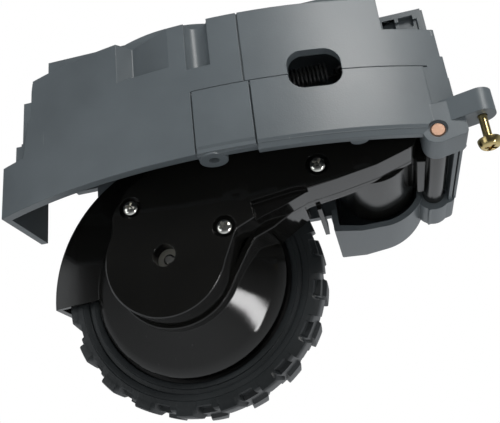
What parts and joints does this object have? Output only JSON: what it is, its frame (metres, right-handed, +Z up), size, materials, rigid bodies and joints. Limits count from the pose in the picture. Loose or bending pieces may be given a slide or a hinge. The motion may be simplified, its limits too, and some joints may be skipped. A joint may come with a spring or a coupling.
{
  "type": "robot vacuum wheel module",
  "caption": "Right-hand drive wheel module of a round robot vacuum: curved housing with wheel well, sprung arm with motor and gear train, and a lugged rubber tyre.",
  "frame": {"origin": "flat top of the outboard screw lug, midway between the lug's root and its screw", "axes": "+Z up, +X along the robot's side towards the pivot end, +Y inboard (away from the curved outer wall)"},
  "size_m": [0.1258, 0.0779, 0.1156],
  "materials": {
    "housing_plastic": "satin blue-grey ABS moulding, glossier on two fields",
    "black_gloss": "polished black plastic",
    "carrier_plastic": "warm dark grey moulded plastic",
    "tyre_rubber": "dark grey soft rubber",
    "rim_plastic": "black moulded plastic",
    "pin_copper": "copper-coloured turned pin end",
    "zinc_screw": "yellow zinc plated",
    "silver_screw": "bright nickel plated",
    "spring_steel": "drawn spring wire",
    "shaft_steel": "ground steel",
    "motor_steel": "drawn steel can",
    "cap_plastic": "black moulded plastic",
    "pinion_brass": "machined brass",
    "gear_plastic": "natural acetal",
    "board_green": "solder-masked board",
    "plug_plastic": "natural nylon",
    "contact_metal": "tinned contacts"
  },
  "bodies": {
    "housing": {"wheel_well_housing": "housing_plastic", "pivot_pin": "pin_copper", "suspension_spring": "spring_steel", "plug_block": "plug_plastic", "plug_contacts": "contact_metal"},
    "arm": {"gearbox_cover": "black_gloss", "gearbox_case": "black_gloss", "gearbox_screws": "silver_screw", "gear_pins": "shaft_steel", "motor_carrier": "carrier_plastic", "motor_can": "motor_steel", "motor_end_cap": "cap_plastic", "encoder_board": "board_green"},
    "wheel": {"tyre": "tyre_rubber", "wheel_rim": "rim_plastic", "wheel_shaft": "shaft_steel", "output_gear": "gear_plastic", "hub_washer": "shaft_steel", "hub_screw": "silver_screw"},
    "rotor": {"motor_shaft": "shaft_steel", "motor_pinion": "pinion_brass", "encoder_disc": "cap_plastic"},
    "gear_1": {"gear_1": "gear_plastic"},
    "gear_2": {"gear_2": "gear_plastic"},
    "gear_3": {"gear_3": "gear_plastic"},
    "gear_4": {"gear_4": "gear_plastic"},
    "screw_outer": {"captive_screw_outer": "zinc_screw"},
    "screw_left": {"captive_screw_left": "zinc_screw"},
    "screw_right": {"captive_screw_right": "zinc_screw"}
  },
  "joints": [
    {"name": "suspension_swing", "type": "hinge", "parent": "housing", "child": "arm", "pos_m": [-0.00645, 0.0219, -0.0072], "axis": [0, 1, 0], "range_deg": [0, 30], "stiffness_Nm_per_rad": 0.3, "springref_deg": -68.75, "deforming": ["suspension_spring"]},
    {"name": "wheel_spin", "type": "hinge", "parent": "arm", "child": "wheel", "pos_m": [-0.07535, 0.0315, -0.0242], "axis": [0, 1, 0], "continuous": true},
    {"name": "gear_4_spin", "type": "hinge", "parent": "arm", "child": "gear_4", "pos_m": [-0.06713, 0.0099, -0.00875], "axis": [0, 1, 0], "continuous": true},
    {"name": "gear_3_spin", "type": "hinge", "parent": "arm", "child": "gear_3", "pos_m": [-0.05578, 0.0119, -0.00285], "axis": [0, 1, 0], "continuous": true},
    {"name": "gear_2_spin", "type": "hinge", "parent": "arm", "child": "gear_2", "pos_m": [-0.04386, 0.0099, 0.00049], "axis": [0, 1, 0], "continuous": true},
    {"name": "gear_1_spin", "type": "hinge", "parent": "arm", "child": "gear_1", "pos_m": [-0.03199, 0.0079, 0.00138], "axis": [0, 1, 0], "continuous": true},
    {"name": "motor_spin", "type": "hinge", "parent": "arm", "child": "rotor", "pos_m": [-0.02185, 0.0269, 0.0003], "axis": [0, 1, 0], "continuous": true},
    {"name": "captive_screw_outer_slide", "type": "slide", "parent": "housing", "child": "screw_outer", "axis": [0, 0, 1], "range_m": [0, 0.006]},
    {"name": "captive_screw_left_slide", "type": "slide", "parent": "housing", "child": "screw_left", "axis": [0, 0, 1], "range_m": [0, 0.006]},
    {"name": "captive_screw_right_slide", "type": "slide", "parent": "housing", "child": "screw_right", "axis": [0, 0, 1], "range_m": [0, 0.006]}
  ],
  "couplings": [
    {"joint": "gear_4_spin", "follows": "wheel_spin", "ratio": -2.1818},
    {"joint": "gear_3_spin", "follows": "wheel_spin", "ratio": 4.8},
    {"joint": "gear_2_spin", "follows": "wheel_spin", "ratio": -11.04},
    {"joint": "gear_1_spin", "follows": "wheel_spin", "ratio": 26.496},
    {"joint": "motor_spin", "follows": "wheel_spin", "ratio": -63.59}
  ]
}
